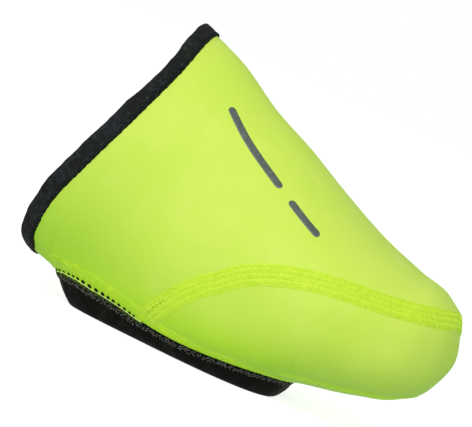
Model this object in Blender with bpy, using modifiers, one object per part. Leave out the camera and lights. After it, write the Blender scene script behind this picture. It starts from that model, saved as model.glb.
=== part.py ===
"""Right cycling toe cover: a softshell cap that stretches over the front of a cycling shoe.

+X runs from the collar to the toe, +Y to the inner side of the foot and +Z up. The cover
stands empty on the flat of its black sole panel. All lengths are in metres.
"""

import math

import bpy
import numpy as np

# Driving sizes
LENGTH = 0.175
BALL_WIDTH = 0.092
INSTEP_HEIGHT = 0.1225
WALL = 0.0016
SOLE_WALL = 0.0015
GAP = 0.0003

# The upper's cross-sections, from the collar to the toe tip. Each section lies in a plane
# through its ridge point and its underside point. "along" is its place on the way to the tip.
# The back columns are shares of LENGTH behind the toe tip, the rise columns are shares of
# INSTEP_HEIGHT above the floor, and centre, half_width and ridge are shares of BALL_WIDTH.
# "widest" is the height of the widest point within the section, and the square columns are
# the powers of its rounding: 2 is an ellipse.
SECTION_COLUMNS = (
    "along", "ridge_back", "ridge_rise", "under_back", "under_rise",
    "centre", "half_width", "ridge", "top_square", "under_square", "widest",
)
SECTIONS = (
    (0.000, 0.823, 1.000, 0.970, 0.107, 0.000, 0.360, 0.020, 1.90, 2.8, 0.42),
    (0.140, 0.708, 0.935, 0.850, 0.062, -0.008, 0.375, 0.020, 1.90, 2.8, 0.40),
    (0.280, 0.597, 0.842, 0.720, 0.032, -0.016, 0.415, 0.022, 1.90, 3.0, 0.37),
    (0.420, 0.486, 0.770, 0.579, 0.020, -0.020, 0.465, 0.025, 1.90, 3.3, 0.36),
    (0.560, 0.374, 0.686, 0.431, 0.038, -0.008, 0.500, 0.028, 2.00, 3.2, 0.37),
    (0.700, 0.254, 0.605, 0.288, 0.079, 0.018, 0.485, 0.028, 2.10, 2.9, 0.42),
    (0.820, 0.151, 0.553, 0.168, 0.112, 0.048, 0.405, 0.028, 2.30, 2.8, 0.46),
    (0.910, 0.067, 0.514, 0.082, 0.152, 0.070, 0.290, 0.020, 2.40, 2.6, 0.50),
    (0.965, 0.023, 0.448, 0.026, 0.220, 0.080, 0.155, 0.010, 2.30, 2.4, 0.50),
    (1.000, 0.000, 0.330, 0.000, 0.330, 0.082, 0.000, 0.000, 2.20, 2.2, 0.50),
)

# The collar's edge leaves its plane: it bows backwards below its middle and forwards above it.
# Columns: height as a share of the section's height, and how far back as a share of LENGTH.
COLLAR_BOW = (
    (0.00, 0.000),
    (0.06, 0.034),
    (0.13, 0.041),
    (0.22, 0.041),
    (0.40, 0.023),
    (0.64, -0.002),
    (0.84, -0.012),
    (1.00, 0.000),
)
BOW_ENDS_ALONG = 0.45
BOW_FADE = 1.5

# The hole under the upper that the sole panel fills: its heel end and toe end in "along", and
# its half width as a share of the way round from the underside to the ridge
SOLE_HEEL_END = 0.078
SOLE_TOE_END = 0.675
SOLE_HALF_TURN = 0.225
SOLE_ROUNDING = 3.6

# The sole panel narrows from its rim to the flat that stands on the floor
HEEL_DRAFT = 0.0095
TOE_DRAFT = 0.004
SIDE_DRAFT = 0.007
# Powers of its wall's rounding, and the share of its length where the straighter heel end fades
WALL_ROUNDING = 1.6
HEEL_WALL_ROUNDING = 1.15
HEEL_WALL_SHARE = 0.25

# The opening for the cleat, in the flat of the sole panel
CLEAT_OPENING_LENGTH = 0.056
CLEAT_OPENING_WIDTH = 0.044
CLEAT_OPENING_ROUNDING = 3.0

# The knit tape folded over the collar's edge
BINDING_WIDTH = 0.0062
BINDING_THICKNESS = 0.0009
BINDING_FOLD = 0.0015

# The raised flat seam between the instep panel and the toe panel: its middle on the outer side.
# Columns: place in "along", and share of the way round from the ridge to the underside.
SEAM_ROUTE = (
    (0.325, 0.920),
    (0.345, 0.800),
    (0.359, 0.705),
    (0.386, 0.606),
    (0.418, 0.532),
    (0.454, 0.481),
    (0.496, 0.445),
    (0.545, 0.417),
    (0.615, 0.389),
    (0.720, 0.361),
    (0.820, 0.335),
    (0.880, 0.311),
    (0.920, 0.270),
    (0.946, 0.200),
    (0.966, 0.000),
)
SEAM_WIDTH = 0.0088
SEAM_THICKNESS = 0.0005

# The bright hem round the sole panel
HEM_WIDTH = 0.0032
HEM_THICKNESS = 0.0005
HEM_INSET = 0.0003

# Mesh fineness
FINE_STEPS = 2000
SETTLE_ROUNDS = 8
HEEL_ROWS = 3
SOLE_ROWS = 22
TOE_ROWS = 12
RING_COLUMNS = 44
SOLE_STATIONS = 56
SEAM_STATIONS = 60
SEAM_LINES = 5
SOLE_WALL_RINGS = 6
FOLD_LINES = 4


def section_rows():
    """The section table in metres, with mirrored rows past the tip so that the toe closes round."""
    scale = {name: 1.0 for name in SECTION_COLUMNS}
    scale.update(ridge_back=-LENGTH, under_back=-LENGTH)
    scale.update(ridge_rise=INSTEP_HEIGHT, under_rise=INSTEP_HEIGHT)
    scale.update(centre=BALL_WIDTH, half_width=BALL_WIDTH, ridge=BALL_WIDTH)
    rows = np.array(SECTIONS) * [scale[name] for name in SECTION_COLUMNS]
    column = {name: place for place, name in enumerate(SECTION_COLUMNS)}
    past_tip = rows[[-2, -3]]
    past_tip[:, column["along"]] = 2 - past_tip[:, column["along"]]
    upper_end = [column["ridge_back"], column["ridge_rise"]]
    lower_end = [column["under_back"], column["under_rise"]]
    past_tip[:, upper_end + lower_end] = past_tip[:, lower_end + upper_end]
    past_tip[:, [column["half_width"], column["ridge"]]] *= -1
    return np.vstack([rows, past_tip])


ROWS = section_rows()


def row_slopes():
    """The slope of every column at every row, for a smooth curve through the table."""
    steps = np.diff(ROWS[:, 0])[:, None]
    slopes = np.diff(ROWS, axis=0) / steps
    inner = (slopes[:-1] * steps[1:] + slopes[1:] * steps[:-1]) / (steps[1:] + steps[:-1])
    return np.vstack([slopes[:1], inner, slopes[-1:]])


SLOPES = row_slopes()


def section_at(along):
    """Every column of the section table at these places, by name."""
    row = np.clip(np.searchsorted(ROWS[:, 0], along, side="right") - 1, 0, len(ROWS) - 2)
    step = (ROWS[row + 1, 0] - ROWS[row, 0])[:, None]
    share = (along - ROWS[row, 0])[:, None] / step
    rest = 1 - share
    values = (
        (1 + 2 * share) * rest**2 * ROWS[row]
        + share * rest**2 * step * SLOPES[row]
        + share**2 * (3 - 2 * share) * ROWS[row + 1]
        - share**2 * rest * step * SLOPES[row + 1]
    )
    return dict(zip(SECTION_COLUMNS, values.T))


def smooth_table(table, at):
    """The second column of a table at these values of its first, on a smooth curve."""
    places, values = np.array(table).T
    slopes = np.gradient(values, places)
    row = np.clip(np.searchsorted(places, at, side="right") - 1, 0, len(places) - 2)
    step = places[row + 1] - places[row]
    share = np.clip((at - places[row]) / step, 0, 1)
    rest = 1 - share
    return (
        (1 + 2 * share) * rest**2 * values[row]
        + share * rest**2 * step * slopes[row]
        + share**2 * (3 - 2 * share) * values[row + 1]
        - share**2 * rest * step * slopes[row + 1]
    )


def upper_point(along, turn):
    """Points of the upper's outer face: turn is 0 on the ridge, 1 or -1 under the foot, + inside."""
    along, turn = np.broadcast_arrays(np.asarray(along, float), np.asarray(turn, float))
    section = section_at(along.ravel())
    angle = turn.ravel() * math.pi
    upward = np.cos(angle)
    sideways = np.sin(angle)
    power = section["under_square"] + (section["top_square"] - section["under_square"]) * (1 + upward) / 2
    reach = (np.abs(upward) ** power + np.abs(sideways) ** power) ** (-1 / power)
    upward = upward * reach
    sideways = sideways * reach
    widest = section["widest"]
    height = np.where(upward > 0, widest + (1 - widest) * upward, widest * (1 + upward))
    bow = smooth_table(COLLAR_BOW, height) * LENGTH
    bow *= np.clip(1 - along.ravel() / BOW_ENDS_ALONG, 0, 1) ** BOW_FADE
    x = section["under_back"] + (section["ridge_back"] - section["under_back"]) * height - bow
    y = section["centre"] + sideways * section["half_width"] + section["ridge"] * height**2
    z = section["under_rise"] + (section["ridge_rise"] - section["under_rise"]) * height
    return np.stack([x, y, z], axis=-1).reshape(along.shape + (3,))


def upper_slopes(along, turn):
    """The outer face's directions along the foot and round it, and its outward normal."""
    step = 1e-4
    forward = (upper_point(along + step, turn) - upper_point(along - step, turn)) / (2 * step)
    round_foot = (upper_point(along, turn + step) - upper_point(along, turn - step)) / (2 * step)
    normal = np.cross(forward, round_foot)
    normal /= np.linalg.norm(normal, axis=-1, keepdims=True)
    return forward, round_foot, normal


def settle(points, along, turn):
    """The places on the upper that are nearest to these points, from a first guess."""
    for _ in range(SETTLE_ROUNDS):
        forward, round_foot, _ = upper_slopes(along, turn)
        miss = points - upper_point(along, turn)
        ff = (forward * forward).sum(-1)
        fr = (forward * round_foot).sum(-1)
        rr = (round_foot * round_foot).sum(-1)
        mf = (miss * forward).sum(-1)
        mr = (miss * round_foot).sum(-1)
        spread = ff * rr - fr * fr
        along = along + (mf * rr - mr * fr) / spread
        turn = turn + (mr * ff - mf * fr) / spread
    return along, turn


def lifted(along, turn, lift):
    """Points that stand off the upper's outer face by lift."""
    return upper_point(along, turn) + upper_slopes(along, turn)[2] * np.asarray(lift)[..., None]


def aside(along, turn, direction, distance):
    """Places on the upper at a distance from these, square to a direction that lies on it."""
    normal = upper_slopes(along, turn)[2]
    across = np.cross(normal, direction)
    across /= np.linalg.norm(across, axis=-1, keepdims=True)
    return settle(upper_point(along, turn) + across * distance, along, turn)


def evenly(values, distance, count, closed=False):
    """Rows of values resampled at an even distance."""
    steps = np.linspace(0, distance[-1], count + 1 if closed else count)
    if closed:
        steps = steps[:-1]
    return [np.interp(steps, distance, column) for column in values]


def travelled(points):
    """The distance travelled along a line of points."""
    steps = np.linalg.norm(np.diff(points, axis=0), axis=1)
    return np.concatenate([[0], np.cumsum(steps)])


def sole_edge(count):
    """The sole hole's edge as places on the upper, evenly spaced, once round."""
    angle = np.linspace(0, 2 * math.pi, FINE_STEPS)
    power = 2 / SOLE_ROUNDING
    lengthwise = np.sign(np.cos(angle)) * np.abs(np.cos(angle)) ** power
    sidewise = np.sign(np.sin(angle)) * np.abs(np.sin(angle)) ** power
    along = SOLE_HEEL_END + (SOLE_TOE_END - SOLE_HEEL_END) * (1 + lengthwise) / 2
    turn = 1 + SOLE_HALF_TURN * sidewise
    return evenly([along, turn], travelled(upper_point(along, turn)), count, closed=True)


def sole_half_turn(along):
    """Half of the sole hole's width at these places, as a share of the way round."""
    share = (along - SOLE_HEEL_END) / (SOLE_TOE_END - SOLE_HEEL_END)
    inside = np.clip(1 - np.abs(2 * share - 1) ** SOLE_ROUNDING, 0, 1)
    return SOLE_HALF_TURN * inside ** (1 / SOLE_ROUNDING)


def fabric_material(name, colour, roughness):
    """A plain matt material."""
    material = bpy.data.materials.new(name)
    material.use_nodes = True
    shader = material.node_tree.nodes["Principled BSDF"]
    shader.inputs["Base Color"].default_value = (*colour, 1)
    shader.inputs["Roughness"].default_value = roughness
    shader.inputs["Metallic"].default_value = 0
    return material


def shell(name, grid, thickness, material, outward=False, closed=False):
    """A sheet through rows of points, thickened inwards or outwards; closed joins first row to last."""
    rows, columns = grid.shape[:2]
    faces = []
    for row in range(rows if closed else rows - 1):
        following = (row + 1) % rows
        for column in range(columns - 1):
            here = row * columns + column
            there = following * columns + column
            faces.append((here, there, there + 1, here + 1))
    return thickened(name, grid.reshape(-1, 3), faces, thickness, material, outward)


def thickened(name, points, faces, thickness, material, outward=False):
    """An object of these faces, which face outwards, with a wall made by Solidify."""
    mesh = bpy.data.meshes.new(name)
    mesh.from_pydata(points.tolist(), [], faces)
    mesh.materials.append(material)
    mesh.shade_smooth()
    obj = bpy.data.objects.new(name, mesh)
    wall = obj.modifiers.new("wall", "SOLIDIFY")
    wall.thickness = thickness
    wall.offset = 1 if outward else -1
    wall.use_even_offset = True
    return obj


def upper(material):
    """The hollow softshell, open at the collar and where the sole panel goes."""
    heel = np.linspace(0, SOLE_HEEL_END, HEEL_ROWS + 1)[:-1]
    ease = (1 - np.cos(np.linspace(0, math.pi, SOLE_ROWS + 1))) / 2
    middle = SOLE_HEEL_END + (SOLE_TOE_END - SOLE_HEEL_END) * ease
    toe = SOLE_TOE_END + (1 - SOLE_TOE_END) * np.sin(np.linspace(0, math.pi / 2, TOE_ROWS + 1)[1:-1])
    along = np.concatenate([heel, middle, toe])
    reach = 1 - sole_half_turn(along)
    share = np.linspace(-1, 1, RING_COLUMNS + 1)
    points = upper_point(along[:, None], reach[:, None] * share)
    whole_rings = (along <= SOLE_HEEL_END) | (along >= SOLE_TOE_END)

    def corner(row, column):
        if column == RING_COLUMNS and whole_rings[row]:
            column = 0
        return row * (RING_COLUMNS + 1) + column

    faces = []
    for row in range(len(along) - 1):
        for column in range(RING_COLUMNS):
            faces.append((
                corner(row, column), corner(row + 1, column),
                corner(row + 1, column + 1), corner(row, column + 1),
            ))
    tip = len(along) * (RING_COLUMNS + 1)
    last = len(along) - 1
    for column in range(RING_COLUMNS):
        faces.append((corner(last, column), tip, corner(last, column + 1)))
    points = np.vstack([points.reshape(-1, 3), upper_point(1.0, 0.0)[None]])
    used = sorted({index for face in faces for index in face})
    renumbered = {index: place for place, index in enumerate(used)}
    faces = [tuple(renumbered[index] for index in face) for face in faces]
    return thickened("upper", points[used], faces, WALL, material)


def sole(material):
    """The black sole panel: a shallow cup with a flat that stands on the floor and a cleat opening."""
    along, turn = sole_edge(SOLE_STATIONS)
    edge = upper_point(along, turn)
    direction = np.roll(edge, -1, axis=0) - np.roll(edge, 1, axis=0)
    rim = upper_point(*aside(along, turn, direction, GAP))
    heel_x, toe_x = rim[:, 0].min(), rim[:, 0].max()
    low_y, high_y = rim[:, 1].min(), rim[:, 1].max()
    middle_y = (low_y + high_y) / 2
    flat = rim.copy()
    lengthwise = (rim[:, 0] - heel_x) / (toe_x - heel_x)
    flat[:, 0] = heel_x + HEEL_DRAFT + (toe_x - heel_x - HEEL_DRAFT - TOE_DRAFT) * lengthwise
    flat[:, 1] = middle_y + (rim[:, 1] - middle_y) * (1 - 2 * SIDE_DRAFT / (high_y - low_y))
    flat[:, 2] = 0
    heel_share = np.clip(1 - lengthwise / HEEL_WALL_SHARE, 0, 1)
    heel_share = heel_share**2 * (3 - 2 * heel_share)
    rounding = WALL_ROUNDING + (HEEL_WALL_ROUNDING - WALL_ROUNDING) * heel_share
    rings = []
    for angle in np.linspace(0, math.pi / 2, SOLE_WALL_RINGS):
        inward = 1 - abs(math.cos(angle)) ** (2 / rounding)
        down = math.sin(angle) ** (2 / rounding)
        ring = rim + (flat - rim) * inward[:, None]
        ring[:, 2] = rim[:, 2] * (1 - down)
        rings.append(ring)
    middle = np.array([(flat[:, 0].min() + flat[:, 0].max()) / 2, middle_y, 0])
    bearing = np.arctan2(flat[:, 1] - middle[1], flat[:, 0] - middle[0])
    power = CLEAT_OPENING_ROUNDING
    lengths = np.abs(np.cos(bearing) / (CLEAT_OPENING_LENGTH / 2)) ** power
    widths = np.abs(np.sin(bearing) / (CLEAT_OPENING_WIDTH / 2)) ** power
    reach = (lengths + widths) ** (-1 / power)
    opening = middle + np.stack([np.cos(bearing) * reach, np.sin(bearing) * reach, 0 * reach], axis=1)
    rings.append((rings[-1] + opening) / 2)
    rings.append(opening)
    grid = np.array(rings).transpose(1, 0, 2)
    return shell("sole", grid, SOLE_WALL, material, closed=True)


def collar_binding(material):
    """The knit tape folded over the collar's edge, all the way round."""
    turn = np.linspace(-1, 1, RING_COLUMNS + 1)[:-1]
    along = np.zeros_like(turn)
    edge = upper_point(along, turn)
    direction = np.roll(edge, -1, axis=0) - np.roll(edge, 1, axis=0)
    direction /= np.linalg.norm(direction, axis=1, keepdims=True)
    normal = upper_slopes(along, turn)[2]
    off_edge = np.cross(normal, direction)
    outside = GAP + BINDING_THICKNESS
    inside = -WALL - GAP - BINDING_THICKNESS
    middle = (outside + inside) / 2
    half = (outside - inside) / 2
    lines = []
    for distance in np.array([1, 0.5, 0]) * (BINDING_WIDTH - BINDING_FOLD):
        place = aside(along, turn, direction, -distance)
        lines.append((lifted(*place, outside), lifted(*place, inside)))
    fold = []
    for angle in np.linspace(math.pi / 3, -math.pi / 3, FOLD_LINES):
        out = BINDING_FOLD * math.cos(angle)
        lift = middle + half * math.sin(angle)
        fold.append(edge + off_edge * out + normal * lift)
    profile = [line[0] for line in lines] + fold + [line[1] for line in lines[::-1]]
    grid = np.array(profile).transpose(1, 0, 2)
    return shell("collar_binding", grid, BINDING_THICKNESS, material, closed=True)


def seam_line(offset):
    """One line of the panel seam, offset to the side of its middle, between its two ends at the hem."""
    places = np.array(SEAM_ROUTE)
    places = np.vstack([places * [1, -1], places[-2::-1]])
    marks = travelled(upper_point(places[:, 0], places[:, 1]))
    fine = np.linspace(0, marks[-1], FINE_STEPS)
    along = smooth_table(np.stack([marks, places[:, 0]], axis=1), fine)
    turn = smooth_table(np.stack([marks, places[:, 1]], axis=1), fine)
    direction = np.gradient(upper_point(along, turn), axis=0)
    along, turn = aside(along, turn, direction, offset)
    hem_turn = (HEM_INSET + HEM_WIDTH + 2 * GAP) / np.linalg.norm(upper_slopes(along, turn)[1], axis=1)
    room = 1 - sole_half_turn(along) - hem_turn - np.abs(turn)
    inside = np.flatnonzero(room > 0)
    first, last = inside[0], inside[-1]
    start = room[first - 1] / (room[first - 1] - room[first])
    end = room[last] / (room[last] - room[last + 1])
    marks = np.concatenate([[first - 1 + start], inside, [last + end]])
    along = np.interp(marks, np.arange(len(room)), along)
    turn = np.interp(marks, np.arange(len(room)), turn)
    return evenly([along, turn], travelled(upper_point(along, turn)), SEAM_STATIONS)


def flatlock_seam(material):
    """The raised flat seam that runs from the hem on the outer side, round the toe, to the inner side."""
    lines = []
    for share in np.linspace(-0.5, 0.5, SEAM_LINES):
        along, turn = seam_line(share * SEAM_WIDTH)
        lines.append(lifted(along, turn, GAP))
    grid = np.array(lines).transpose(1, 0, 2)
    return shell("flatlock_seam", grid, SEAM_THICKNESS, material, outward=True)


def sole_hem(material):
    """The raised hem on the upper, round the sole panel."""
    along, turn = sole_edge(SOLE_STATIONS)
    edge = upper_point(along, turn)
    direction = np.roll(edge, -1, axis=0) - np.roll(edge, 1, axis=0)
    lines = []
    for share in (1, 0.5, 0):
        place = aside(along, turn, direction, -HEM_INSET - share * HEM_WIDTH)
        lines.append(lifted(*place, GAP))
    grid = np.array(lines).transpose(1, 0, 2)
    return shell("sole_hem", grid, HEM_THICKNESS, material, outward=True, closed=True)


def stand_on_origin(objects):
    """Moves the objects so that the middle of their common box's underside is the origin."""
    for obj in objects:
        bpy.context.scene.collection.children["cycling_toe_cover"].objects.link(obj)
    bpy.context.view_layer.update()
    graph = bpy.context.evaluated_depsgraph_get()
    corners = np.array([corner for obj in objects for corner in obj.evaluated_get(graph).bound_box])
    low, high = corners.min(axis=0), corners.max(axis=0)
    for obj in objects:
        obj.location = (-(low[0] + high[0]) / 2, -(low[1] + high[1]) / 2, -low[2])


def main():
    for obj in list(bpy.data.objects):
        bpy.data.objects.remove(obj)
    bpy.context.scene.collection.children.link(bpy.data.collections.new("cycling_toe_cover"))
    softshell = fabric_material("hi_vis_softshell", (0.62, 0.82, 0.10), 0.75)
    thread = fabric_material("hi_vis_thread", (0.62, 0.86, 0.06), 0.7)
    rubberised = fabric_material("black_sole_fabric", (0.012, 0.012, 0.011), 0.8)
    knit = fabric_material("charcoal_knit_tape", (0.018, 0.021, 0.022), 0.9)
    stand_on_origin([
        upper(softshell),
        sole(rubberised),
        collar_binding(knit),
        flatlock_seam(thread),
        sole_hem(thread),
    ])


main()
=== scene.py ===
"""The looks of the right cycling toe cover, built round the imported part. Metres, in the part's frame.

+X runs from the collar to the toe, +Y to the inner side of the foot and +Z up.
"""

import math

import bpy
import numpy as np
from mathutils import Matrix, Vector


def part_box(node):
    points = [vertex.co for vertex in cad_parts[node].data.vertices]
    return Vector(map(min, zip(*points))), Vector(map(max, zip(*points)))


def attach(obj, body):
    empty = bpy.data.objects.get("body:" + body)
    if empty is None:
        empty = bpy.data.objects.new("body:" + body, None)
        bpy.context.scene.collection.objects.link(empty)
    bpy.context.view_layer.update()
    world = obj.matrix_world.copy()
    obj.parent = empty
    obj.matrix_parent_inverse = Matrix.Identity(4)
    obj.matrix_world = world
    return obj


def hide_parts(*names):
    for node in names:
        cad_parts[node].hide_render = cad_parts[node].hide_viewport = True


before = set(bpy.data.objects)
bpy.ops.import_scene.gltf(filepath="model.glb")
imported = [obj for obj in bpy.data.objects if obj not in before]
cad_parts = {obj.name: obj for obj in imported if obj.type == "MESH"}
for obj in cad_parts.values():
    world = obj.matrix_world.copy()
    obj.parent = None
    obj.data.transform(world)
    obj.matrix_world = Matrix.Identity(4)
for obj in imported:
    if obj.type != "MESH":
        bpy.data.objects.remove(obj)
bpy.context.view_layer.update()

MM = 0.001
RNG = np.random.default_rng(7)

# The upper's form: the same driving sizes and tables as the part
LENGTH = 0.175
BALL_WIDTH = 0.092
INSTEP_HEIGHT = 0.1225
WALL = 0.0016
SOLE_WALL = 0.0015
GAP = 0.0003
SECTION_COLUMNS = (
    "along", "ridge_back", "ridge_rise", "under_back", "under_rise",
    "centre", "half_width", "ridge", "top_square", "under_square", "widest",
)
SECTIONS = (
    (0.000, 0.823, 1.000, 0.970, 0.107, 0.000, 0.360, 0.020, 1.90, 2.8, 0.42),
    (0.140, 0.708, 0.935, 0.850, 0.062, -0.008, 0.375, 0.020, 1.90, 2.8, 0.40),
    (0.280, 0.597, 0.842, 0.720, 0.032, -0.016, 0.415, 0.022, 1.90, 3.0, 0.37),
    (0.420, 0.486, 0.770, 0.579, 0.020, -0.020, 0.465, 0.025, 1.90, 3.3, 0.36),
    (0.560, 0.374, 0.686, 0.431, 0.038, -0.008, 0.500, 0.028, 2.00, 3.2, 0.37),
    (0.700, 0.254, 0.605, 0.288, 0.079, 0.018, 0.485, 0.028, 2.10, 2.9, 0.42),
    (0.820, 0.151, 0.553, 0.168, 0.112, 0.048, 0.405, 0.028, 2.30, 2.8, 0.46),
    (0.910, 0.067, 0.514, 0.082, 0.152, 0.070, 0.290, 0.020, 2.40, 2.6, 0.50),
    (0.965, 0.023, 0.448, 0.026, 0.220, 0.080, 0.155, 0.010, 2.30, 2.4, 0.50),
    (1.000, 0.000, 0.330, 0.000, 0.330, 0.082, 0.000, 0.000, 2.20, 2.2, 0.50),
)
COLLAR_BOW = (
    (0.00, 0.000), (0.06, 0.034), (0.13, 0.041), (0.22, 0.041), (0.40, 0.023),
    (0.64, -0.002), (0.84, -0.012), (1.00, 0.000),
)
BOW_ENDS_ALONG = 0.45
BOW_FADE = 1.5
SOLE_HEEL_END = 0.078
SOLE_TOE_END = 0.675
SOLE_HALF_TURN = 0.225
SOLE_ROUNDING = 3.6
HEEL_DRAFT = 0.0095
TOE_DRAFT = 0.004
SIDE_DRAFT = 0.007
WALL_ROUNDING = 1.6
HEEL_WALL_ROUNDING = 1.15
HEEL_WALL_SHARE = 0.25
CLEAT_OPENING_LENGTH = 0.056
CLEAT_OPENING_WIDTH = 0.044
CLEAT_OPENING_ROUNDING = 3.0
BINDING_THICKNESS = 0.0009
BINDING_FOLD = 0.0015
SEAM_ROUTE = (
    (0.325, 0.920), (0.345, 0.800), (0.359, 0.705), (0.386, 0.606), (0.418, 0.532),
    (0.454, 0.481), (0.496, 0.445), (0.545, 0.417), (0.615, 0.389), (0.720, 0.361),
    (0.820, 0.335), (0.880, 0.311), (0.920, 0.270), (0.946, 0.200), (0.966, 0.000),
)
SEAM_WIDTH = 0.0088

# Soft troughs (minus) and ridges (plus) of the worn fabric on the outer side, given as the two
# ends as x and z, then the half width and the height, all in mm
FOLDS = (
    ((-30, 84), (-22, 76), 9, -0.35),
    ((5, 30), (13, 9), 6, -0.5),
    ((-22, 20), (-14, 8), 6, -0.35),
    ((-5, 24), (0, 12), 5, 0.35),
    ((22, 24), (28, 14), 6, -0.40),
    ((35, 40), (42, 32), 7, 0.45),
    ((40, 25), (50, 19), 5, -0.35),
    ((63, 44), (70, 38), 8, 0.35),
    ((64, 24), (74, 20), 5, -0.30),
    ((47, 72), (56, 62), 6, -0.35),
)
FOLDS_END_TURN = 0.80
FOLDS_FADE_TURN = 0.12

FINE_STEPS = 2000
SETTLE_ROUNDS = 8


def section_rows():
    """The section table in metres, with mirrored rows past the tip so that the toe closes round."""
    scale = {name: 1.0 for name in SECTION_COLUMNS}
    scale.update(ridge_back=-LENGTH, under_back=-LENGTH)
    scale.update(ridge_rise=INSTEP_HEIGHT, under_rise=INSTEP_HEIGHT)
    scale.update(centre=BALL_WIDTH, half_width=BALL_WIDTH, ridge=BALL_WIDTH)
    rows = np.array(SECTIONS) * [scale[name] for name in SECTION_COLUMNS]
    column = {name: place for place, name in enumerate(SECTION_COLUMNS)}
    past_tip = rows[[-2, -3]]
    past_tip[:, column["along"]] = 2 - past_tip[:, column["along"]]
    upper_end = [column["ridge_back"], column["ridge_rise"]]
    lower_end = [column["under_back"], column["under_rise"]]
    past_tip[:, upper_end + lower_end] = past_tip[:, lower_end + upper_end]
    past_tip[:, [column["half_width"], column["ridge"]]] *= -1
    return np.vstack([rows, past_tip])


ROWS = section_rows()


def smooth_rows(table, at):
    """Every column of a table at these values of its first, on smooth curves."""
    places = table[:, 0]
    slopes = np.gradient(table, places, axis=0)
    row = np.clip(np.searchsorted(places, at, side="right") - 1, 0, len(places) - 2)
    step = (places[row + 1] - places[row])[:, None]
    share = (at - places[row])[:, None] / step
    rest = 1 - share
    return (
        (1 + 2 * share) * rest**2 * table[row]
        + share * rest**2 * step * slopes[row]
        + share**2 * (3 - 2 * share) * table[row + 1]
        - share**2 * rest * step * slopes[row + 1]
    )


def smooth_table(table, at):
    """The second column of a table at these values of its first, held at the table's ends."""
    table = np.array(table)
    return smooth_rows(table, np.clip(at, table[0, 0], table[-1, 0]))[:, 1]


def upper_point(along, turn):
    """Points of the upper's outer face: turn is 0 on the ridge, 1 or -1 under the foot, + inside."""
    along, turn = np.broadcast_arrays(along, turn)
    section = dict(zip(SECTION_COLUMNS, smooth_rows(ROWS, along.ravel()).T))
    angle = turn.ravel() * math.pi
    upward = np.cos(angle)
    sideways = np.sin(angle)
    power = section["under_square"] + (section["top_square"] - section["under_square"]) * (1 + upward) / 2
    reach = (np.abs(upward) ** power + np.abs(sideways) ** power) ** (-1 / power)
    upward = upward * reach
    widest = section["widest"]
    height = np.where(upward > 0, widest + (1 - widest) * upward, widest * (1 + upward))
    bow = smooth_table(COLLAR_BOW, height) * LENGTH
    bow *= np.clip(1 - along.ravel() / BOW_ENDS_ALONG, 0, 1) ** BOW_FADE
    x = section["under_back"] + (section["ridge_back"] - section["under_back"]) * height - bow
    y = section["centre"] + sideways * reach * section["half_width"] + section["ridge"] * height**2
    z = section["under_rise"] + (section["ridge_rise"] - section["under_rise"]) * height
    return np.stack([x, y, z], axis=-1).reshape(along.shape + (3,)) + OFFSET


OFFSET = np.zeros(3)


def find_offset():
    """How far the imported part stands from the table's own place, from the upper's box."""
    points = upper_point(np.linspace(0, 1, 401)[:, None], np.linspace(-1, 1, 401)).reshape(-1, 3)
    shift = np.array(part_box("upper")) - [points.min(0), points.max(0)]
    return np.array([shift[1, 0], shift[:, 1].mean(), shift[1, 2]])


OFFSET = find_offset()


def unit(vectors):
    return vectors / np.maximum(np.linalg.norm(vectors, axis=-1, keepdims=True), 1e-12)


def eased(share):
    """A smooth step, flat below 0 and above 1."""
    share = np.clip(share, 0, 1)
    return share * share * (3 - 2 * share)


def upper_slopes(along, turn):
    """The outer face's directions along the foot and round it, and its outward normal."""
    step = 1e-4
    forward = (upper_point(along + step, turn) - upper_point(along - step, turn)) / (2 * step)
    round_foot = (upper_point(along, turn + step) - upper_point(along, turn - step)) / (2 * step)
    return forward, round_foot, unit(np.cross(forward, round_foot))


def settle(points, along, turn):
    """The places on the upper that are nearest to these points, from a first guess."""
    for _ in range(SETTLE_ROUNDS):
        forward, round_foot, _ = upper_slopes(along, turn)
        miss = points - upper_point(along, turn)
        ff = (forward * forward).sum(-1)
        fr = (forward * round_foot).sum(-1)
        rr = (round_foot * round_foot).sum(-1)
        mf = (miss * forward).sum(-1)
        mr = (miss * round_foot).sum(-1)
        spread = ff * rr - fr * fr
        along = along + (mf * rr - mr * fr) / spread
        turn = turn + (mr * ff - mf * fr) / spread
    return along, turn


def aside(along, turn, direction, distance):
    """Places on the upper at a distance from these, square to a direction that lies on it."""
    normal = upper_slopes(along, turn)[2]
    across = unit(np.cross(normal, direction))
    return settle(upper_point(along, turn) + across * distance, along, turn)


def travelled(points):
    """The distance travelled along a line of points."""
    steps = np.linalg.norm(np.diff(points, axis=0), axis=1)
    return np.concatenate([[0], np.cumsum(steps)])


def evenly(along, turn, count, closed=False):
    """Places on the upper at even distances along the line of these ones."""
    distance = travelled(upper_point(along, turn))
    steps = np.linspace(0, distance[-1], count, endpoint=not closed)
    return np.interp(steps, distance, along), np.interp(steps, distance, turn)


def round_trip(line):
    """The directions along a closed line of points."""
    return np.roll(line, -1, axis=0) - np.roll(line, 1, axis=0)


def closed_up(line):
    """A closed line of points, ending where it starts."""
    return np.concatenate([line, line[:1]])


def sole_edge(count):
    """The sole hole's edge as places on the upper, evenly spaced, once round."""
    angle = np.linspace(0, 2 * math.pi, FINE_STEPS)
    power = 2 / SOLE_ROUNDING
    lengthwise = np.sign(np.cos(angle)) * np.abs(np.cos(angle)) ** power
    sidewise = np.sign(np.sin(angle)) * np.abs(np.sin(angle)) ** power
    along = SOLE_HEEL_END + (SOLE_TOE_END - SOLE_HEEL_END) * (1 + lengthwise) / 2
    turn = 1 + SOLE_HALF_TURN * sidewise
    return evenly(along, turn, count, closed=True)


def sole_half_turn(along):
    """Half of the sole hole's width at these places, as a share of the way round."""
    share = (along - SOLE_HEEL_END) / (SOLE_TOE_END - SOLE_HEEL_END)
    inside = np.clip(1 - np.abs(2 * share - 1) ** SOLE_ROUNDING, 0, 1)
    return SOLE_HALF_TURN * inside ** (1 / SOLE_ROUNDING)


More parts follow.
